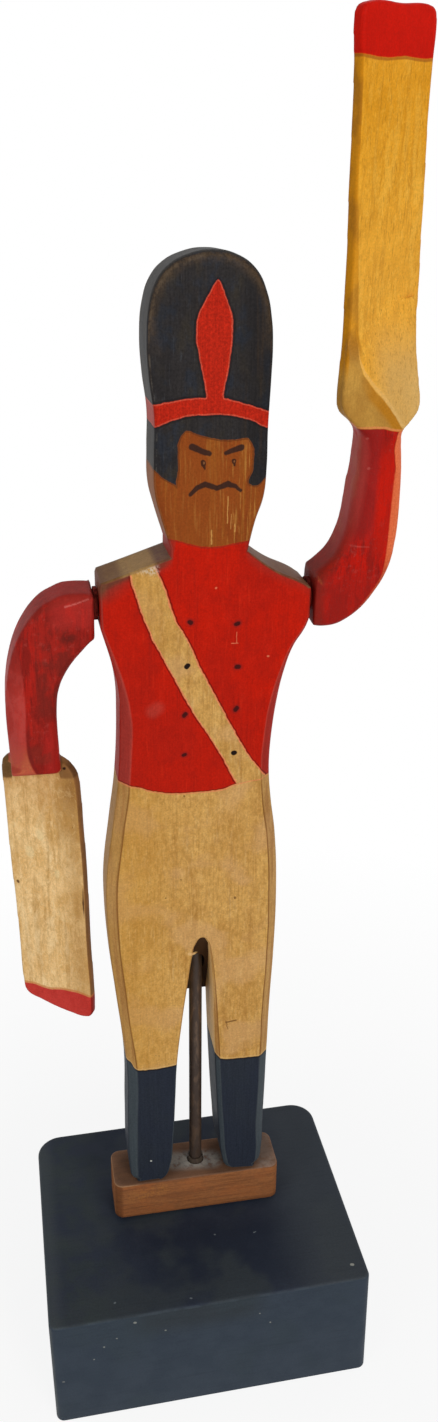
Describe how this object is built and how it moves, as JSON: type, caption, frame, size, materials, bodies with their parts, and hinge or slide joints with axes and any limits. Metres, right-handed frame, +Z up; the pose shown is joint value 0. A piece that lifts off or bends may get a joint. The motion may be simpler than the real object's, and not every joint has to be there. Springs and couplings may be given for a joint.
{
  "type": "soldier whirligig",
  "caption": "Carved wooden soldier that turns on an upright rod above a display block, with paddle-bladed arms that spin about its shoulders in the wind.",
  "frame": {"origin": "middle of the block's underside, on the surface it stands on", "axes": "+Z up, +X to the viewer's right when facing the soldier, +Y away from the viewer, so the soldier faces -Y"},
  "size_m": [0.177, 0.1244, 0.6141],
  "materials": {
    "block_paint": "dark navy paint, satin, hand brushed",
    "dark_steel": "darkened with age",
    "bright_steel": "plain",
    "bar_stain": "brown stain, satin",
    "tube_metal": "dark",
    "figure_paint": "satin paint with wood showing: red jacket, black hat, clear-finished trousers",
    "sleeve_brass": "plain",
    "washer_metal": "dark",
    "lower_arm_paint": "dark red paint, the blade clear finished with a red tip",
    "upper_arm_paint": "dark red paint, the blade golden with a red tip"
  },
  "bodies": {
    "stand": {"base_block": "block_paint", "pivot_rod": "dark_steel", "foot_washer": "bright_steel"},
    "figure": {"foot_bar": "bar_stain", "foot_bushing": "tube_metal", "boot_screw_left": "bright_steel", "boot_screw_right": "bright_steel", "figure_board": "figure_paint", "crotch_sleeve": "sleeve_brass", "axle_sleeve": "sleeve_brass"},
    "rotor": {"arm_axle": "dark_steel", "shoulder_washer_left": "washer_metal", "shoulder_washer_right": "washer_metal", "arm_left": "lower_arm_paint", "arm_right": "upper_arm_paint"}
  },
  "joints": [
    {"name": "figure_turn", "type": "hinge", "parent": "stand", "child": "figure", "pos_m": [0.0027, 0.00765, 0.0648], "axis": [0.0152, 0, 0.9999], "continuous": true},
    {"name": "arm_spin", "type": "hinge", "parent": "figure", "child": "rotor", "pos_m": [0.00776, 0.00765, 0.39822], "axis": [0.9999, 0, -0.0152], "continuous": true}
  ]
}
